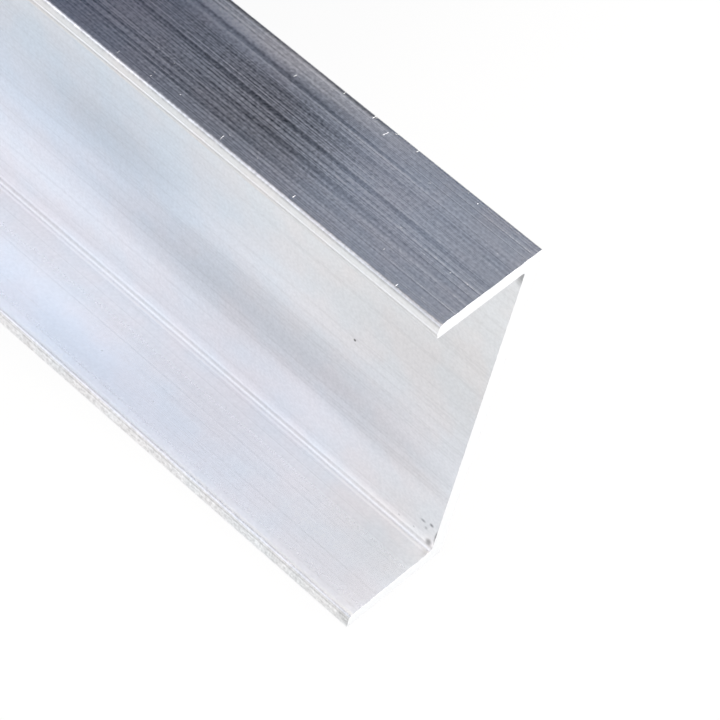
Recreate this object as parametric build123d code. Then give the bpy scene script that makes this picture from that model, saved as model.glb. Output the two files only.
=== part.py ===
from build123d import *
import os

# Driving dimensions of the channel, in millimetres
stock_length = 500.0
web_height = 50.0
flange_width = 15.0
web_thickness = 2.0
flange_thickness = 2.0
arris_radius = 0.35
root_radius = 0.5

# A rounding never takes more than this share of the wall it rounds
rounding_share_of_wall = 0.45

# Where the section's faces lie. The row stands on its lower flange, the trough opens
# towards -Y, and the origin is at the middle of the box's underside.
web_back_y = flange_width / 2
web_front_y = web_back_y - web_thickness
flange_tip_y = web_back_y - flange_width
underside_z = 0.0
trough_floor_z = flange_thickness
trough_roof_z = web_height - flange_thickness

# The roundings, kept inside the walls that carry them
tip_radius = min(arris_radius, rounding_share_of_wall * flange_thickness)
heel_radius = min(arris_radius, rounding_share_of_wall * min(web_thickness, flange_thickness))


def channel_outline():
    """The section with square corners: the web at the back and two flanges reaching forward."""
    with BuildSketch(Plane.YZ) as outline:
        with BuildLine():
            Polyline(
                (web_back_y, underside_z),
                (web_back_y, web_height),
                (flange_tip_y, web_height),
                (flange_tip_y, trough_roof_z),
                (web_front_y, trough_roof_z),
                (web_front_y, trough_floor_z),
                (flange_tip_y, trough_floor_z),
                (flange_tip_y, underside_z),
                close=True,
            )
        make_face()
    return outline.sketch


def corners_at(outline, y):
    """The outline's corners that lie at one distance from the web."""
    return outline.vertices().filter_by_position(Axis.Y, y, y)


def rounded_section():
    """The section as the die gives it: broken arrises outside, small hollow roots inside."""
    section = channel_outline()
    section = fillet(corners_at(section, web_front_y), root_radius)
    section = fillet(corners_at(section, web_back_y), heel_radius)
    section = fillet(corners_at(section, flange_tip_y), tip_radius)
    return section


def channel_stock():
    """The section drawn out along X, sawn square at both ends."""
    return extrude(rounded_section(), amount=stock_length / 2, dir=(1, 0, 0), both=True)


os.makedirs("parts", exist_ok=True)
channel = channel_stock()
export_step(channel, "parts/channel.step")
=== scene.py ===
import math
import random

import bmesh
import bpy
from bpy.props import FloatProperty, FloatVectorProperty, IntProperty, PointerProperty
from bpy.types import Operator, Panel, PropertyGroup
from mathutils import Matrix, Vector, noise


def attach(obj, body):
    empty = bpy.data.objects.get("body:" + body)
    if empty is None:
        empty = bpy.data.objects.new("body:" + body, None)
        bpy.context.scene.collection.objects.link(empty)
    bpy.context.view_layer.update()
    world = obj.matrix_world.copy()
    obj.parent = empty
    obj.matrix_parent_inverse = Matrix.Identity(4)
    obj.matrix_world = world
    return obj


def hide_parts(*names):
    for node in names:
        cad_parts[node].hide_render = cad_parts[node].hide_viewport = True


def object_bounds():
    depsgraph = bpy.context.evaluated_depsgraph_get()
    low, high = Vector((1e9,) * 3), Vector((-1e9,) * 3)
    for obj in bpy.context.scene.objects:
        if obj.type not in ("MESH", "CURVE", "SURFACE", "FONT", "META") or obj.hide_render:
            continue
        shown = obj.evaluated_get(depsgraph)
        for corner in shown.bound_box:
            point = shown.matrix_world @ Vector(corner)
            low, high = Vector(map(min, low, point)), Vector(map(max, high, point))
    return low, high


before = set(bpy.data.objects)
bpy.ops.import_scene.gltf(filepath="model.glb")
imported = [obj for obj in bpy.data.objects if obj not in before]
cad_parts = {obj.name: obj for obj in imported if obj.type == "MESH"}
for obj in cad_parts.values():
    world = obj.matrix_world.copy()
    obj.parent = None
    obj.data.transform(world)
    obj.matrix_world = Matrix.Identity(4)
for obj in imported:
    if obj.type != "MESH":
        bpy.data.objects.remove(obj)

bl_info = {
    "name": "Aluminium Channel Stock",
    "version": (1, 0, 0),
    "blender": (4, 5, 0),
    "location": "3D View > Sidebar > Channel",
    "description": "A sawn length of mill finished aluminium channel, with its studio",
    "category": "Mesh",
}

# The imported model's box, which every size below starts from, and the names of its node and body
CAD_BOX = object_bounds()
BOX_LOW, BOX_HIGH = CAD_BOX
NODE = "channel"
BODY = "root"
MM = 0.001


class ChannelSizes(PropertyGroup):
    """The sizes of the stock."""

    length: FloatProperty(
        name="Length", description="Length of the stock between its sawn ends",
        default=BOX_HIGH.x - BOX_LOW.x, min=0.01, unit="LENGTH", precision=4)
    flange_width: FloatProperty(
        name="Flange width", description="From the back of the web to the free edge",
        default=BOX_HIGH.y - BOX_LOW.y, min=0.005, unit="LENGTH", precision=4)
    web_height: FloatProperty(
        name="Web height", description="Over the outer faces of the two flanges",
        default=BOX_HIGH.z - BOX_LOW.z, min=0.01, unit="LENGTH", precision=4)
    wall: FloatProperty(
        name="Wall", description="Thickness of the web and of each flange",
        default=2.0 * MM, min=0.5 * MM, unit="LENGTH", precision=4)
    arris_radius: FloatProperty(
        name="Arris radius", description="Rounding of the outer long edges",
        default=0.35 * MM, min=0.05 * MM, unit="LENGTH", precision=5)
    root_radius: FloatProperty(
        name="Root radius", description="Hollow between the web and a flange",
        default=0.5 * MM, min=0.05 * MM, unit="LENGTH", precision=5)
    saw_wander: FloatProperty(
        name="Saw wander", description="How far the edge of a sawn end strays from a straight line",
        default=0.07 * MM, min=0.0, max=0.3 * MM, unit="LENGTH", precision=5)


class ChannelFinish(PropertyGroup):
    """The colours and the finish of the metal."""

    metal_colour: FloatVectorProperty(
        name="Metal", description="Colour of the clean mill finish",
        subtype="COLOR", size=3, min=0.0, max=1.0, default=(0.80, 0.805, 0.815))
    hair_depth: FloatProperty(
        name="Hair line depth", description="Depth of the finest die lines",
        default=0.006 * MM, min=0.0, unit="LENGTH", precision=6)
    line_depth: FloatProperty(
        name="Die line depth", description="Depth of the common die lines",
        default=0.02 * MM, min=0.0, unit="LENGTH", precision=6)
    score_depth: FloatProperty(
        name="Score depth", description="Depth of the few die lines that stand out",
        default=0.01 * MM, min=0.0, unit="LENGTH", precision=6)
    grain_depth: FloatProperty(
        name="Grain depth", description="Depth of the pitting between the lines",
        default=0.002 * MM, min=0.0, unit="LENGTH", precision=6)
    inner_marks: FloatProperty(
        name="Inner marks", description="How deep the lines are in the trough",
        default=0.65, min=0.0, max=2.0)
    outer_marks: FloatProperty(
        name="Outer marks", description="How deep the lines are on the outside",
        default=0.7, min=0.0, max=2.0)
    streak_roughness: FloatProperty(
        name="Streak roughness", description="How much the roughness differs from streak to streak",
        default=0.02, min=0.0, max=0.3, subtype="FACTOR")
    streak_tone: FloatProperty(
        name="Streak tone", description="How much the tone differs from streak to streak",
        default=0.05, min=0.0, max=0.3, subtype="FACTOR")
    roughness: FloatProperty(
        name="Roughness", description="Roughness of the clean mill finish",
        default=0.32, min=0.0, max=1.0, subtype="FACTOR")


class ChannelStudio(PropertyGroup):
    """Where the camera stands and what lens it has."""

    azimuth: FloatProperty(
        name="Azimuth", description="How far the camera stands to the right of the trough's front",
        default=math.radians(30.32), subtype="ANGLE")
    elevation: FloatProperty(
        name="Elevation", description="How far the camera stands above the horizon",
        default=math.radians(49.87), subtype="ANGLE")
    roll: FloatProperty(
        name="Roll", description="How far upright lines lean to the right in the picture",
        default=math.radians(15.9), subtype="ANGLE")
    distance: FloatProperty(
        name="Distance", description="From the camera to the point that it aims at",
        default=321.4 * MM, min=0.05, unit="LENGTH")
    lens: FloatProperty(
        name="Lens", description="Focal length in millimetres on a 36 mm wide sensor",
        default=159.15, min=10.0)


def clean_object(name, mesh):
    """A new object in the scene, in place of an older one of that name."""
    old = bpy.data.objects.get(name)
    if old is not None:
        bpy.data.objects.remove(old)
    made = bpy.data.objects.new(name, mesh)
    bpy.context.scene.collection.objects.link(made)
    return made


# Shader helpers

def add(tree, kind, inputs=None, **settings):
    """A shader node with its settings, its socket values and what is linked into its sockets."""
    node = tree.nodes.new(kind)
    for name, value in settings.items():
        setattr(node, name, value)
    for name, value in (inputs or {}).items():
        socket = node.inputs[name]
        if isinstance(value, bpy.types.NodeSocket):
            tree.links.new(value, socket)
        else:
            socket.default_value = value
    return node


def new_material(name):
    """An empty material with its output node."""
    material = bpy.data.materials.new(name)
    material.use_nodes = True
    material.node_tree.nodes.clear()
    output = material.node_tree.nodes.new("ShaderNodeOutputMaterial")
    return material, material.node_tree, output


# The channel

def section_corners(sizes):
    """The section's eight corners as (y, z, radius), anticlockwise seen from the near end."""
    back = sizes.flange_width / 2
    tip = -back
    front = back - sizes.wall
    top, roof, floor = sizes.web_height, sizes.web_height - sizes.wall, sizes.wall
    arris, root = sizes.arris_radius, sizes.root_radius
    return [
        (back, 0.0, arris), (back, top, arris), (tip, top, arris), (tip, roof, arris),
        (front, roof, root), (front, floor, root), (tip, floor, arris), (tip, 0.0, arris),
    ]


def rounded(before, corner, after, radius, steps):
    """Points on the arc that rounds one corner of the outline."""
    inward = (before - corner).normalized()
    outward = (after - corner).normalized()
    centre = corner + (inward + outward) * radius
    points = []
    for step in range(steps + 1):
        angle = math.radians(90.0 * step / steps)
        points.append(centre - outward * (radius * math.cos(angle)) - inward * (radius * math.sin(angle)))
    return points


def section_outline(sizes, steps=6, shoulder=0.3 * MM, pitch=0.4 * MM):
    """The outline with its arcs, and points across its flats for the ragged saw edge."""
    corners = section_corners(sizes)
    places = [Vector((y, z)) for y, z, _ in corners]
    arcs = []
    for index, (_, _, radius) in enumerate(corners):
        before, after = places[index - 1], places[(index + 1) % len(places)]
        arcs.append(rounded(before, places[index], after, radius, steps))
    outline = []
    for index, arc in enumerate(arcs):
        outline.extend(arc)
        start, end = arc[-1], arcs[(index + 1) % len(arcs)][0]
        outline.extend(flat_points(start, end, shoulder, pitch))
    return outline


def flat_points(start, end, shoulder, pitch):
    """Points between two arcs: one shoulder beside each, and the rest evenly spaced."""
    run = end - start
    along = run.normalized()
    first, last = start + along * shoulder, end - along * shoulder
    count = max(1, round((last - first).length / pitch))
    return [first.lerp(last, step / count) for step in range(count + 1)]


def drawn_in(outline, depth):
    """The outline moved into the metal by a small depth."""
    moved = []
    for index, point in enumerate(outline):
        tangent = outline[(index + 1) % len(outline)] - outline[index - 1]
        moved.append(point + Vector((-tangent.y, tangent.x)).normalized() * depth)
    return moved


def station_places(length, end_zone=12 * MM, count=20):
    """Where the rings stand along X, close together beside the two sawn ends."""
    inner = length / 2 - end_zone
    middle = [inner * (2 * step / count - 1) for step in range(count + 1)]
    beside = [length / 2 - back for back in (6 * MM, 2 * MM, 0.6 * MM, 0.2 * MM)]
    return [-x for x in reversed(beside)] + middle + beside


def saw_edge(sizes, outline, end):
    """The ragged edge that a saw leaves at one end (+1 or -1), and the clean cut inside it."""
    tip = end * sizes.length / 2
    edge = []
    for y, z in outline:
        coarse = noise.noise(Vector((end * 40.0, y / (0.9 * MM), z / (0.9 * MM))))
        fine = noise.noise(Vector((end * 90.0, y / (0.35 * MM), z / (0.35 * MM))))
        share = min(1.0, max(0.0, 0.45 + 0.55 * coarse + 0.35 * fine))
        edge.append((tip - end * sizes.saw_wander * share, y, z))
    cut = [(tip, y, z) for y, z in drawn_in(outline, 0.05 * MM)]
    return edge, cut


def channel_mesh(sizes):
    """The outline drawn along X between two sawn ends."""
    outline = section_outline(sizes)
    loops = [[(x, y, z) for y, z in outline] for x in station_places(sizes.length)]
    far_edge, far_cut = saw_edge(sizes, outline, -1)
    near_edge, near_cut = saw_edge(sizes, outline, 1)
    loops = [far_cut, far_edge, *loops, near_edge, near_cut]
    form = bmesh.new()
    rings = [[form.verts.new(place) for place in loop] for loop in loops]
    for number, (ring, following) in enumerate(zip(rings, rings[1:])):
        for index in range(len(outline)):
            ahead = (index + 1) % len(outline)
            face = form.faces.new((ring[index], ring[ahead], following[ahead], following[index]))
            face.material_index = 1 if number in (0, len(rings) - 2) else 0
    for ring in (rings[0], rings[-1]):
        edges = [form.edges.get((ring[index - 1], ring[index])) for index in range(len(ring))]
        filled = bmesh.ops.triangle_fill(form, edges=edges, use_beauty=True)
        for face in filled["geom"]:
            if isinstance(face, bmesh.types.BMFace):
                face.material_index = 1
    bmesh.ops.recalc_face_normals(form, faces=form.faces)
    mesh = bpy.data.meshes.new("channel_stock")
    form.to_mesh(mesh)
    form.free()
    mesh.shade_smooth()
    mesh.set_sharp_from_angle(angle=math.radians(30.0))
    return mesh


def streaks(tree, place, along, across, detail=2.0, offset=0.0):
    """Noise drawn out along the stock, with streaks of about these two sizes."""
    scaled = add(tree, "ShaderNodeMapping", {
        "Vector": place,
        "Location": (offset, offset, offset),
        "Scale": (1 / along, 1 / across, 1 / across),
    })
    drawn = add(tree, "ShaderNodeTexNoise", {
        "Vector": scaled.outputs["Vector"], "Scale": 1.0, "Detail": detail, "Roughness": 0.55})
    return drawn.outputs["Fac"]


def spread(tree, value, low, high, to_low=0.0, to_high=1.0):
    """A value between low and high, spread out smoothly over another range."""
    return add(tree, "ShaderNodeMapRange", {
        "Value": value, "From Min": low, "From Max": high, "To Min": to_low, "To Max": to_high},
        interpolation_type="SMOOTHSTEP").outputs[0]


def calculated(tree, operation, first, second, third=0.0):
    """One step of arithmetic."""
    return add(tree, "ShaderNodeMath", {0: first, 1: second, 2: third}, operation=operation).outputs[0]


def soft_patch(tree, place, centre, reach):
    """1 at a place on the stock, fading to 0 where an ellipsoid of this reach ends."""
    away = add(tree, "ShaderNodeVectorMath", {0: place, 1: centre}, operation="SUBTRACT")
    shares = add(tree, "ShaderNodeVectorMath", {
        0: away.outputs["Vector"], 1: reach}, operation="DIVIDE")
    length = add(tree, "ShaderNodeVectorMath", {0: shares.outputs["Vector"]}, operation="LENGTH")
    return spread(tree, length.outputs["Value"], 0.15, 1.0, 1.0, 0.0)


def blended(tree, share, first, second):
    """Two colours mixed by a share: each is a socket or three numbers."""
    ends = [end if isinstance(end, bpy.types.NodeSocket) else (*end, 1.0) for end in (first, second)]
    return add(tree, "ShaderNodeMix", {"Factor": share, "A": ends[0], "B": ends[1]},
               data_type="RGBA").outputs["Result"]


# Patches that bring the metal to the tones that the photograph shows in its own view, some of
# them stains and some of them light and shade: millimetres back from the near sawn end, in from
# the back of the web and up from the underside, how far the patch reaches each way, how much
# darker it is, or lighter below 0, and how much rougher, or smoother below 0
STAINS_AND_PAINTED_LIGHT = (
    # Painted shade on the inside of the web: darker bands and patches where it mirrors the shadowed floor
    # and the lower flange's edge
    ((27.0, 2.0, 13.5), (32.0, 1.0, 8.5), 0.18, 0.0),
    ((34.0, 2.0, 13.0), (40.0, 1.0, 9.0), 0.12, 0.0),
    ((4.0, 2.0, 9.0), (18.0, 1.0, 7.0), 0.10, 0.0),
    ((52.0, 2.0, 22.0), (16.0, 1.0, 5.5), 0.13, 0.0),
    ((6.0, 2.0, 22.0), (24.0, 1.0, 24.0), 0.10, 0.0),
    ((32.0, 2.0, 5.5), (34.0, 1.0, 5.0), 0.13, 0.0),
    # Roughness only: a smoother top on the lower flange
    ((25.0, 9.5, 2.0), (110.0, 6.5, 1.4), 0.0, -0.10),
    # Painted highlight: the top of the lower flange made lighter where it mirrors the bright front
    ((55.0, 13.5, 2.0), (140.0, 10.0, 1.4), -0.13, 0.0),
    ((0.0, 8.0, 2.0), (34.0, 14.0, 1.4), -0.08, 0.0),
    ((25.0, 7.5, 2.0), (40.0, 7.0, 1.4), -0.11, 0.0),
    ((42.0, 3.5, 2.0), (22.0, 3.0, 1.2), -0.08, 0.0),
    ((55.0, 14.6, 2.0), (70.0, 1.6, 0.8), -0.12, 0.0),
    # Painted light and shade on the top of the upper flange: lighter and darker patches where it mirrors
    # more or less of the dark ceiling
    ((13.0, 8.0, 50.0), (12.0, 10.0, 0.6), -0.10, 0.0),
    ((32.0, 9.5, 50.0), (16.0, 8.0, 0.6), 0.22, 0.0),
    ((26.0, 7.0, 50.0), (10.0, 7.0, 0.6), 0.16, 0.0),
    ((28.0, 2.6, 50.0), (12.0, 1.8, 0.6), 0.14, 0.0),
    ((34.0, 0.8, 50.0), (24.0, 2.2, 0.6), -0.12, 0.07),
    ((75.0, 7.5, 50.0), (36.0, 12.0, 0.6), -0.03, 0.0),
    # Painted shade in the inner corner under the top flange at the near end
    ((0.2, 2.0, 47.4), (1.0, 0.7, 2.2), 0.45, 0.0),
    # Dark dirt smudges on the web by the lower root at the near end
    ((2.1, 2.0, 5.3), (0.55, 0.4, 0.28), 0.40, 0.0),
    ((1.5, 2.0, 4.6), (0.3, 0.4, 0.3), 0.30, 0.0),
    ((0.95, 2.0, 5.6), (0.4, 0.4, 0.35), 0.55, 0.0),
    ((0.7, 2.0, 2.9), (0.6, 0.6, 0.7), 0.55, 0.0),
    # Painted shadow of a burr: a short upright dark line beside the sawn edge
    ((0.0, 2.0, 4.4), (0.3, 0.4, 1.5), 0.60, 0.0),
    # Dark dirt specks on the web
    ((2.95, 2.0, 3.3), (0.2, 0.4, 0.2), 0.30, 0.0),
    ((5.06, 2.0, 3.2), (0.2, 0.4, 0.2), 0.30, 0.0),
    ((16.1, 2.0, 22.1), (0.25, 0.3, 0.25), 0.80, 0.0),
    # Darker at the near end of the lower flange's free edge
    ((0.3, 15.0, 1.1), (1.8, 0.5, 1.1), 0.16, 0.0),
)

# Painted light in colour, placed in the same way: a warm pool of painted light at the near end, a painted
# blue shade on the far web and a painted warm reflection on the far top; the middle, the reach and the
# colour laid over it
PAINTED_LIGHT_CASTS = (
    # Painted warm light over the near end
    ((0.0, 5.0, 4.0), (24.0, 16.0, 16.0), (1.0, 0.985, 0.95)),
    # Painted blue shade on the far web
    ((56.0, 2.0, 23.0), (42.0, 1.0, 17.0), (0.85, 0.92, 1.0)),
    # Painted warm reflection on the far top
    ((78.0, 8.5, 50.0), (46.0, 11.0, 0.6), (1.0, 0.88, 0.84)),
)

# The fine lines that run the whole length, near the arrises and in the hollow, most of them painted
# shade and painted highlights and one a raised ridge: millimetres back from the near end to the middle of
# each, in from the back of the web, up from the underside, how far it reaches each way, how much darker it
# is and how far it stands proud
LONG_LINES_PAINTED_AND_RAISED = (
    # Darker along the back arris of the top
    ((24.0, 0.42, 50.0), (8.0, 0.3, 0.4), 0.45, 0.0),
    ((44.0, 0.42, 50.0), (24.0, 0.3, 0.4), 0.60, 0.0),
    ((110.0, 0.42, 50.0), (70.0, 0.3, 0.4), 0.60, 0.0),
    # Painted shade that dims the highlight on the upper front arris near the near end
    ((0.0, 15.0, 50.0), (80.0, 0.5, 0.5), 0.45, 0.0),
    # Painted shade: a dark line on the upper free edge just below its arris
    ((0.0, 15.0, 49.6), (900.0, 0.4, 0.2), 0.08, 0.0),
    # A raised ridge along the upper free edge, in the bump only
    ((0.0, 15.0, 48.7), (900.0, 0.4, 0.25), 0.0, 0.07),
    # Painted shade that dims the highlight on the lower flange's inner arris, a painted dark line on its
    # free edge below, and a painted light line on its top beside it
    ((0.0, 15.0, 2.0), (900.0, 0.4, 0.4), 0.60, 0.0),
    ((0.0, 15.0, 1.5), (900.0, 0.4, 0.25), 0.30, 0.0),
    ((0.0, 14.55, 2.0), (900.0, 0.25, 0.2), -0.20, 0.0),
    # Painted shade in the hollow of the lower root, dimming its highlight, and a painted light line on the
    # flange beside it
    ((0.0, 2.05, 2.3), (900.0, 0.4, 0.5), 0.33, 0.0),
    ((0.0, 2.55, 2.0), (900.0, 0.35, 0.3), -0.22, 0.0),
)

# The part of the top where the die lines show most, measured in the same way
WORN = ((46.0, 7.5, 50.0), (56.0, 12.0, 0.8))

# The speckled free edge of the lower flange, measured in the same way
SPECKLED = ((0.0, 15.0, 1.0), (900.0, 0.5, 1.3))


def on_stock(sizes, spot):
    """A spot given in millimetres from the near end, the web's back and the underside, in metres."""
    behind, inwards, up = spot
    return Vector((sizes.length / 2 - behind * MM, sizes.flange_width / 2 - inwards * MM, up * MM))


def patch_at(tree, place, sizes, centre, reach):
    """A soft patch whose centre and reach are given in millimetres, as in the tables above."""
    return soft_patch(tree, place, on_stock(sizes, centre), [size * MM for size in reach])


def outer_faces(tree, place, sizes):
    """1 on the outside of the channel, which the die marked more, and 0 in the trough."""
    parts = add(tree, "ShaderNodeSeparateXYZ", {"Vector": place})
    near, deep = 0.1 * MM, 0.5 * MM
    above = spread(tree, parts.outputs["Z"], sizes.web_height - deep, sizes.web_height - near)
    below = spread(tree, parts.outputs["Z"], near, deep, 1.0, 0.0)
    back = spread(tree, parts.outputs["Y"], sizes.flange_width / 2 - deep, sizes.flange_width / 2 - near)
    return calculated(tree, "MAXIMUM", calculated(tree, "MAXIMUM", above, below), back)


# How long and how wide the streaks of each kind are, along the stock and across it
HAIR_SIZE = (40 * MM, 0.15 * MM)
LINE_SIZE = (110 * MM, 0.45 * MM)
BAND_SIZE = (250 * MM, 2.6 * MM)
SCORE_SIZE = (70 * MM, 0.30 * MM)

# The grain between the lines and the soft clouds of colour
GRAIN_SIZE = 0.35 * MM
CLOUD_SIZE = 6 * MM
GRAIN_ROUGHNESS = 0.04
BRUSHED = 0.65

# How strongly the grain speckles the tone, and how much darker a score and a band are
INNER_SPECKLE, OUTER_SPECKLE = 0.2, 0.4
WORN_SPECKLE, EDGE_SPECKLE = 0.9, 0.7
SCORE_SHADE = 0.04
BAND_TONES = (0.97, 1.0)
WORN_STREAKS = 5.0
HAIR_SHARE, LINE_SHARE = 0.6, 0.4


def mill_finish(sizes, finish):
    """The extruded faces: satin metal with the lines that the die drew along it, stains and dirt, and
    painted light and shade in patches and along the edges.
    """
    material, tree, output = new_material("mill_finish")
    place = add(tree, "ShaderNodeTexCoord").outputs["Object"]
    hair = streaks(tree, place, *HAIR_SIZE, 1.0)
    line = streaks(tree, place, *LINE_SIZE, 2.0, 3.7)
    band = streaks(tree, place, *BAND_SIZE, 1.0, 9.1)
    score = spread(tree, streaks(tree, place, *SCORE_SIZE, 0.0, 5.3), 0.62, 0.72)
    grain = add(tree, "ShaderNodeTexNoise", {"Vector": place, "Scale": 1 / GRAIN_SIZE, "Detail": 2.0})
    grain = calculated(tree, "SUBTRACT", grain.outputs["Fac"], 0.5)
    outside = outer_faces(tree, place, sizes)
    marked = spread(tree, outside, 0.0, 1.0, finish.inner_marks, finish.outer_marks)

    height = calculated(tree, "MULTIPLY", hair, finish.hair_depth / MM)
    height = calculated(tree, "MULTIPLY_ADD", line, finish.line_depth / MM, height)
    height = calculated(tree, "MULTIPLY_ADD", score, -finish.score_depth / MM, height)
    height = calculated(tree, "MULTIPLY_ADD", grain, finish.grain_depth / MM, height)
    height = calculated(tree, "MULTIPLY", height, marked)
    # The long lines: painted shade and painted highlights along the arrises and the root, and one raised
    # ridge
    lines = [(patch_at(tree, place, sizes, centre, reach), darker, proud)
             for centre, reach, darker, proud in LONG_LINES_PAINTED_AND_RAISED]
    for patch, _, proud in lines:
        if proud:
            height = calculated(tree, "MULTIPLY_ADD", patch, proud, height)
    bump = add(tree, "ShaderNodeBump", {"Height": height, "Strength": 1.0, "Distance": MM})

    drawn = calculated(tree, "MULTIPLY", line, LINE_SHARE)
    drawn = calculated(tree, "MULTIPLY_ADD", hair, HAIR_SHARE, drawn)
    drawn = calculated(tree, "MULTIPLY", spread(tree, drawn, 0.38, 0.62, -1.0, 1.0), outside)
    worn = patch_at(tree, place, sizes, *WORN)
    rough = calculated(tree, "MULTIPLY_ADD", drawn, finish.streak_roughness, finish.roughness)
    rough = calculated(tree, "MULTIPLY_ADD", grain, GRAIN_ROUGHNESS, rough)
    tone = spread(tree, band, 0.3, 0.7, *BAND_TONES)
    tone = calculated(tree, "MULTIPLY_ADD", score, -SCORE_SHADE, tone)
    speckle = spread(tree, outside, 0.0, 1.0, INNER_SPECKLE, OUTER_SPECKLE)
    speckle = calculated(tree, "MULTIPLY_ADD", worn, WORN_SPECKLE, speckle)
    free_edge = patch_at(tree, place, sizes, *SPECKLED)
    speckle = calculated(tree, "MULTIPLY_ADD", free_edge, EDGE_SPECKLE, speckle)
    tone = calculated(tree, "MULTIPLY_ADD", grain, speckle, tone)
    streak = calculated(tree, "MULTIPLY_ADD", worn, WORN_STREAKS * finish.streak_tone, finish.streak_tone)
    tone = calculated(tree, "MULTIPLY_ADD", drawn, streak, tone)
    # Stains and dirt, painted light and shade, and one patch that only changes roughness
    for centre, reach, darker, rougher in STAINS_AND_PAINTED_LIGHT:
        patch = patch_at(tree, place, sizes, centre, reach)
        if darker:
            tone = calculated(tree, "MULTIPLY_ADD", patch, -darker, tone)
        if rougher:
            rough = calculated(tree, "MULTIPLY_ADD", patch, rougher, rough)
    # Painted shade and painted highlights along the arrises and the root, and the darker back arris
    for patch, darker, _ in lines:
        if darker:
            tone = calculated(tree, "MULTIPLY_ADD", patch, -darker, tone)
    cloud = add(tree, "ShaderNodeTexNoise", {"Vector": place, "Scale": 1 / CLOUD_SIZE, "Detail": 2.0})
    red, green, blue = finish.metal_colour
    tint = blended(tree, spread(tree, cloud.outputs["Fac"], 0.35, 0.65),
                   (red * 0.985, green, blue * 1.01), (red * 1.015, green * 0.995, blue * 0.99))
    metal = add(tree, "ShaderNodeMix", {"Factor": tone, "A": (0.0, 0.0, 0.0, 1.0), "B": tint},
                data_type="RGBA", clamp_factor=False, clamp_result=True).outputs["Result"]
    # Painted light: warm and blue casts of colour laid over the metal
    for centre, reach, cast in PAINTED_LIGHT_CASTS:
        metal = add(tree, "ShaderNodeMix", {
            "Factor": patch_at(tree, place, sizes, centre, reach), "A": metal, "B": (*cast, 1.0)},
            data_type="RGBA", blend_type="MULTIPLY").outputs["Result"]

    around = add(tree, "ShaderNodeTangent", direction_type="RADIAL", axis="X")
    shader = add(tree, "ShaderNodeBsdfPrincipled", {
        "Base Color": metal, "Metallic": 1.0, "Roughness": rough, "Anisotropic": BRUSHED,
        "Normal": bump.outputs["Normal"], "Tangent": around.outputs["Tangent"]})
    tree.links.new(shader.outputs["BSDF"], output.inputs["Surface"])
    return material


# The saw's arbor across the stock, the pitch of its arcs, and the grain of the cut
SAW_ARBOR = (0.0, 60 * MM, 130 * MM)
SAW_PITCH = 0.3 * MM
CUT_GRAIN = 0.25 * MM
CUT_DEPTH = 0.012 * MM
CUT_ROUGHNESS = (0.60, 0.72)


def sawn_finish():
    """The two ends: a bright, rough cut with the arcs of the saw blade."""
    material, tree, output = new_material("sawn_finish")
    place = add(tree, "ShaderNodeTexCoord").outputs["Object"]
    flat = add(tree, "ShaderNodeVectorMath", {0: place, 1: (0.0, 1.0, 1.0)}, operation="MULTIPLY")
    away = add(tree, "ShaderNodeVectorMath", {0: flat.outputs["Vector"], 1: SAW_ARBOR}, operation="DISTANCE")
    arcs = add(tree, "ShaderNodeTexNoise", {
        "W": away.outputs["Value"], "Scale": 1 / SAW_PITCH, "Detail": 3.0}, noise_dimensions="1D")
    grain = add(tree, "ShaderNodeTexNoise", {"Vector": place, "Scale": 1 / CUT_GRAIN, "Detail": 3.0})
    height = calculated(tree, "MULTIPLY_ADD", grain.outputs["Fac"], 0.5, arcs.outputs["Fac"])
    bump = add(tree, "ShaderNodeBump", {"Height": height, "Strength": 1.0, "Distance": CUT_DEPTH})
    metal = blended(tree, grain.outputs["Fac"], (0.91, 0.915, 0.92), (0.97, 0.975, 0.98))
    rough = spread(tree, arcs.outputs["Fac"], 0.3, 0.7, *CUT_ROUGHNESS)
    shader = add(tree, "ShaderNodeBsdfPrincipled", {
        "Base Color": metal, "Metallic": 1.0, "Roughness": rough, "Normal": bump.outputs["Normal"]})
    tree.links.new(shader.outputs["BSDF"], output.inputs["Surface"])
    return material


class CHANNEL_OT_make_stock(Operator):
    """Make the length of channel with its extruded faces and sawn ends"""

    bl_idname = "channel.make_stock"
    bl_label = "Make channel stock"
    bl_options = {"REGISTER", "UNDO"}

    def execute(self, context):
        sizes, finish = context.scene.channel_sizes, context.scene.channel_finish
        stock = clean_object("channel_stock", channel_mesh(sizes))
        stock.data.materials.append(mill_finish(sizes, finish))
        stock.data.materials.append(sawn_finish())
        weighted = stock.modifiers.new("flat_faces", "WEIGHTED_NORMAL")
        weighted.keep_sharp = True
        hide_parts(NODE)
        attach(stock, BODY)
        return {"FINISHED"}


# Marks left by sawing and handling

# The raised nicks on the upper flange: millimetres back from the near end and in from the back,
# the length of the nick, and its turn from the stock's length in degrees
NICKS = (
    (43.2, 14.2, 0.45, 95.0), (29.1, 14.15, 0.9, 98.0), (19.6, 14.15, 0.6, 88.0),
    (5.95, 14.5, 0.6, 92.0), (25.7, 0.46, 0.55, 96.0), (21.7, 0.48, 0.75, 84.0),
    (21.5, 0.35, 0.3, 40.0), (19.5, 1.15, 1.1, 78.0), (18.8, 0.32, 0.5, 30.0),
    (16.0, 0.32, 0.45, 90.0), (9.25, 0.45, 0.3, 85.0), (7.8, 0.78, 0.3, 80.0),
    (12.5, 2.5, 0.35, 40.0), (10.5, 8.9, 0.4, 15.0), (9.7, 12.2, 0.25, 60.0),
    (35.5, 13.4, 0.25, 95.0), (52.0, 11.0, 0.3, 85.0), (30.3, 2.6, 0.7, 80.0),
)


# How wide and how high a nick stands, how high a filing lies, and how much of either is sunk in
NICK_WIDTH, NICK_HEIGHT = 0.09 * MM, 0.05 * MM
FILING_HEIGHT = 0.04 * MM
FILING_LENGTHS = (0.08, 0.24)
SUNK = 0.4


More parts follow.
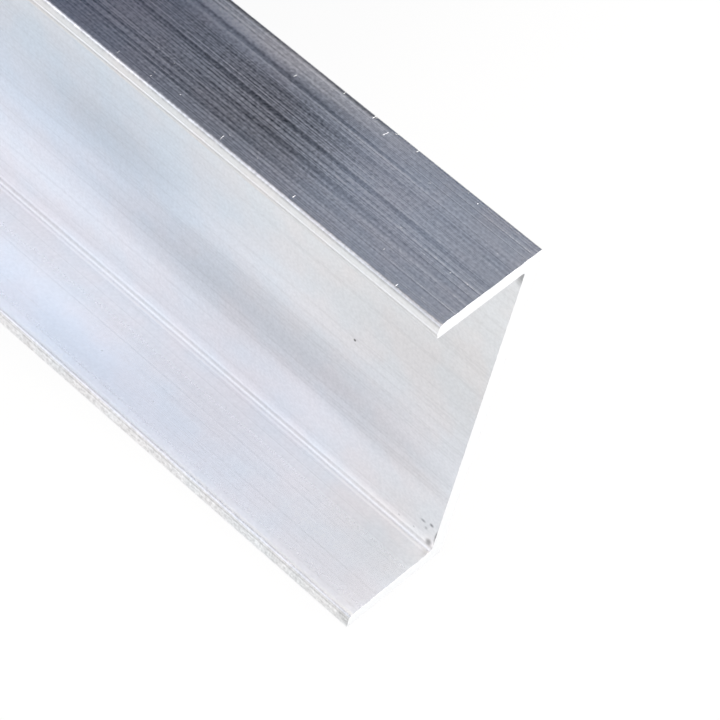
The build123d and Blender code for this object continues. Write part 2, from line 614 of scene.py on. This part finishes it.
def add_sliver(form, centre, along, up, length, width, height, rng):
    """A small raised lip of metal, pointed at both ends, sunk a little into the face it is on."""
    across = up.cross(along).normalized()
    shares = (-0.55, 0.05, 0.6)
    rows = []
    for share in shares:
        middle = centre + along * (length / 2 * share) + across * (width * rng.uniform(-0.25, 0.25))
        half = across * (width / 2 * (1.0 - share * share) ** 0.5 * rng.uniform(0.8, 1.2))
        crest = middle + up * (height * (1.0 - share * share) * rng.uniform(0.7, 1.1))
        sole = middle - up * (SUNK * height)
        rows.append([form.verts.new(place) for place in (sole - half, crest, sole + half)])
    tips = [form.verts.new(centre + along * (length / 2 * end) - up * (SUNK * height))
            for end in (-1.0, 1.0)]
    for row, following in zip(rows, rows[1:]):
        for index in range(3):
            ahead = (index + 1) % 3
            form.faces.new((row[index], row[ahead], following[ahead], following[index]))
    for tip, row in ((tips[0], rows[0]), (tips[1], rows[-1])):
        for index in range(3):
            form.faces.new((row[index], row[(index + 1) % 3], tip))


def sliver_object(name, form, material):
    """Closes a mesh of slivers and puts it on the stock."""
    bmesh.ops.recalc_face_normals(form, faces=form.faces)
    mesh = bpy.data.meshes.new(name)
    form.to_mesh(mesh)
    form.free()
    piece = clean_object(name, mesh)
    piece.data.materials.append(material)
    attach(piece, BODY)
    return piece


def burr_finish():
    """Freshly torn metal, brighter than the drawn faces."""
    material, tree, output = new_material("burr_finish")
    place = add(tree, "ShaderNodeTexCoord").outputs["Object"]
    grain = add(tree, "ShaderNodeTexNoise", {"Vector": place, "Scale": 1 / (0.1 * MM), "Detail": 2.0})
    metal = blended(tree, grain.outputs["Fac"], (0.84, 0.84, 0.84), (0.95, 0.95, 0.94))
    shader = add(tree, "ShaderNodeBsdfPrincipled", {"Base Color": metal, "Metallic": 1.0, "Roughness": 0.45})
    tree.links.new(shader.outputs["BSDF"], output.inputs["Surface"])
    return material


def nick_form(sizes, rng):
    """The nicks along the arrises and on the top."""
    form = bmesh.new()
    for behind, inwards, length, turn in NICKS:
        spot = on_stock(sizes, (behind, inwards, sizes.web_height / MM))
        along = Vector((math.cos(math.radians(turn)), math.sin(math.radians(turn)), 0.0))
        edge = min(inwards, sizes.flange_width / MM - inwards)
        spot.z -= max(0.0, 0.35 - edge) ** 2 * MM
        up = Vector((0.0, 0.0, 1.0))
        add_sliver(form, spot, along, up, length * MM, NICK_WIDTH, NICK_HEIGHT, rng)
    return form


def filing_form(sizes, rng, count=150, zone=130 * MM):
    """Filings strewn over the upward faces near both ends."""
    form = bmesh.new()
    half, width, up = sizes.length / 2, sizes.flange_width, Vector((0.0, 0.0, 1.0))
    for number in range(count):
        end = 1 if number % 3 else -1
        x = end * (half - zone * rng.random() ** 1.3 - 0.3 * MM)
        upper = rng.random() < 0.8
        y = width * rng.uniform(-0.46, 0.46 if upper else 0.3)
        z = sizes.web_height if upper else sizes.wall
        turn = rng.uniform(0.0, math.pi)
        along = Vector((math.cos(turn), math.sin(turn), 0.0))
        length = rng.uniform(*FILING_LENGTHS) * MM
        across = length * rng.uniform(0.3, 0.6)
        add_sliver(form, Vector((x, y, z)), along, up, length, across, FILING_HEIGHT, rng)
    return form


class CHANNEL_OT_make_marks(Operator):
    """Raise the nicks along the arrises and strew the filings that sawing left"""

    bl_idname = "channel.make_marks"
    bl_label = "Make nicks and filings"
    bl_options = {"REGISTER", "UNDO"}

    def execute(self, context):
        sizes = context.scene.channel_sizes
        finish = burr_finish()
        sliver_object("edge_nicks", nick_form(sizes, random.Random(3)), finish)
        sliver_object("saw_filings", filing_form(sizes, random.Random(11)), finish)
        return {"FINISHED"}


# The studio

# How much of the floor, as the camera and the metal see it, is white glow instead of lit paper
FLOOR_GLOW = 0.93
PAPER = (0.9, 0.9, 0.9)

# The room round the stock
CEILING = (0.010, 0.030, 0.085)
SIDES = (0.40, 0.41, 0.44)
FRONT = (2.08, 2.12, 2.30)
HORIZON = (1.0, 1.0, 1.0)

# How far the pale front of the room is turned towards the far end, as the X of its direction
FRONT_SHIFT = 0.36

# How far back from the near end the key light's pool on the floor begins
POOL_START = 54 * MM
KEY_COLOUR = (1.0, 0.90, 0.775)
BACK_COLOUR = (0.32, 0.60, 1.0)

# What the camera aims at: back from the near end, across and up
AIM = (12.75 * MM, 1.88 * MM, 25.0 * MM)


def floor_object(radius=4.0):
    """A round pale floor that reaches past every view."""
    form = bmesh.new()
    bmesh.ops.create_circle(form, cap_ends=True, radius=radius, segments=64)
    mesh = bpy.data.meshes.new("studio_floor")
    form.to_mesh(mesh)
    form.free()
    return clean_object("studio_floor", mesh)


def floor_paint():
    """Plain white paper, as bright in the metal's reflections as it is to the camera."""
    material, tree, output = new_material("floor_paper")
    paper = add(tree, "ShaderNodeBsdfDiffuse", {"Color": (*PAPER, 1.0)})
    glow = add(tree, "ShaderNodeEmission", {"Color": (1.0, 1.0, 1.0, 1.0), "Strength": 1.0})
    path = add(tree, "ShaderNodeLightPath")
    seen = path.outputs["Is Camera Ray"]
    for kind in ("Is Glossy Ray", "Is Transmission Ray"):
        seen = calculated(tree, "MAXIMUM", seen, path.outputs[kind])
    share = calculated(tree, "MULTIPLY", seen, FLOOR_GLOW)
    mixed = add(tree, "ShaderNodeMixShader", {"Fac": share, 1: paper.outputs[0], 2: glow.outputs[0]})
    tree.links.new(mixed.outputs[0], output.inputs["Surface"])
    return material


def softbox(name, place, aim, width, height, brightness, colour=(1.0, 1.0, 1.0)):
    """A rectangular lamp that looks at a point; a brightness of 1 mirrors as white."""
    lamp = bpy.data.lights.new(name, "AREA")
    lamp.shape = "RECTANGLE"
    lamp.size, lamp.size_y = width, height
    lamp.energy = brightness * math.pi * width * height
    lamp.color = colour
    holder = clean_object(name, lamp)
    holder.location = place
    holder.rotation_mode = "QUATERNION"
    holder.rotation_quaternion = (Vector(aim) - Vector(place)).to_track_quat("-Z", "Y")
    holder.visible_camera = False
    return holder


def grid_softbox(name, left_edge, height, size, angle, brightness, colour):
    """A softbox with a grid that looks straight down and lights the floor right of its left edge."""
    over = (left_edge + size / 2, 0.0, height)
    holder = softbox(name, over, (over[0], 0.0, 0.0), size, size, brightness, colour)
    holder.data.spread = math.radians(angle)
    return holder


def studio_world():
    """A white horizon, a pale front and grey sides under a dark ceiling that the top mirrors."""
    world = bpy.data.worlds.new("studio_world")
    world.use_nodes = True
    tree = world.node_tree
    tree.nodes.clear()
    direction = add(tree, "ShaderNodeTexCoord").outputs["Generated"]
    parts = add(tree, "ShaderNodeSeparateXYZ", {"Vector": direction})
    shifted = calculated(tree, "ADD", parts.outputs["X"], FRONT_SHIFT)
    across = calculated(tree, "ABSOLUTE", shifted, 0.0)
    forward = calculated(tree, "MULTIPLY", parts.outputs["Y"], -1.0)
    rise = calculated(tree, "ARCTAN2", parts.outputs["Z"], forward)
    front = calculated(tree, "MULTIPLY", spread(tree, across, 0.12, 0.42, 1.0, 0.0),
                       spread(tree, rise, math.radians(15.0), math.radians(120.0), 1.0, 0.0))
    height = parts.outputs["Z"]
    horizon = spread(tree, height, 0.08, 0.22, 1.0, 0.0)
    sides = spread(tree, across, 0.26, 0.60)
    colour = blended(tree, sides, CEILING, SIDES)
    colour = blended(tree, front, colour, FRONT)
    colour = blended(tree, horizon, colour, HORIZON)
    room = add(tree, "ShaderNodeBackground", {"Color": colour, "Strength": 1.0})
    output = add(tree, "ShaderNodeOutputWorld")
    tree.links.new(room.outputs[0], output.inputs["Surface"])
    bpy.context.scene.world = world


def camera_for(studio):
    """The camera at the photograph's angle on the near end."""
    behind, across, up = AIM
    aim = Vector((BOX_HIGH.x - behind, across, up))
    back = Vector((
        math.sin(studio.azimuth) * math.cos(studio.elevation),
        -math.cos(studio.azimuth) * math.cos(studio.elevation),
        math.sin(studio.elevation),
    ))
    data = bpy.data.cameras.new("studio_camera")
    data.sensor_width = 36.0
    data.lens = studio.lens
    data.clip_start, data.clip_end = 0.01, 50.0
    camera = clean_object("studio_camera", data)
    upright = (-back).to_track_quat("-Z", "Y").to_matrix()
    turned = upright @ Matrix.Rotation(studio.roll, 3, "Z")
    camera.matrix_world = Matrix.Translation(aim + back * studio.distance) @ turned.to_4x4()
    bpy.context.scene.camera = camera


class CHANNEL_OT_set_studio(Operator):
    """Set up the floor, the lamps, the world and the camera"""

    bl_idname = "channel.set_studio"
    bl_label = "Set up studio"
    bl_options = {"REGISTER", "UNDO"}

    def execute(self, context):
        scene = context.scene
        floor = floor_object()
        floor.data.materials.append(floor_paint())
        studio_world()
        near = (BOX_HIGH.x, 0.0, 0.02)
        grid_softbox("key_softbox", BOX_HIGH.x - POOL_START, 0.30, 0.9, 14.0, 0.86, KEY_COLOUR)
        softbox("back_softbox", (0.211, 0.148, 0.235), near, 0.15, 0.15, 0.14, BACK_COLOUR)
        end_place = (BOX_HIGH.x + 0.40, 0.20, 0.12)
        softbox("end_softbox", end_place, near, 0.25, 0.20, 4.5)
        camera_for(scene.channel_studio)
        scene.view_settings.view_transform = "Standard"
        return {"FINISHED"}


class CHANNEL_PT_stock(Panel):
    """Lists the steps that make the channel and its studio"""

    bl_idname = "CHANNEL_PT_stock"
    bl_label = "Aluminium channel"
    bl_space_type = "VIEW_3D"
    bl_region_type = "UI"
    bl_category = "Channel"

    def draw(self, context):
        layout = self.layout
        for group in ("channel_sizes", "channel_finish", "channel_studio"):
            settings = getattr(context.scene, group)
            box = layout.box()
            for name in settings.bl_rna.properties.keys():
                if name not in ("rna_type", "name"):
                    box.prop(settings, name)
        for operator in OPERATORS:
            layout.operator(operator.bl_idname)


GROUPS = {
    "channel_sizes": ChannelSizes,
    "channel_finish": ChannelFinish,
    "channel_studio": ChannelStudio,
}
OPERATORS = (CHANNEL_OT_make_stock, CHANNEL_OT_make_marks, CHANNEL_OT_set_studio)


def register():
    """Registers the settings, the operators and the panel."""
    for made in (*GROUPS.values(), *OPERATORS, CHANNEL_PT_stock):
        bpy.utils.register_class(made)
    for name, group in GROUPS.items():
        setattr(bpy.types.Scene, name, PointerProperty(type=group))


def unregister():
    """Takes back what register did."""
    for name in GROUPS:
        delattr(bpy.types.Scene, name)
    for made in reversed((*GROUPS.values(), *OPERATORS, CHANNEL_PT_stock)):
        bpy.utils.unregister_class(made)


def main():
    """Makes the channel and its studio."""
    register()
    bpy.ops.channel.make_stock()
    bpy.ops.channel.make_marks()
    bpy.ops.channel.set_studio()


if __name__ == "__main__":
    main()
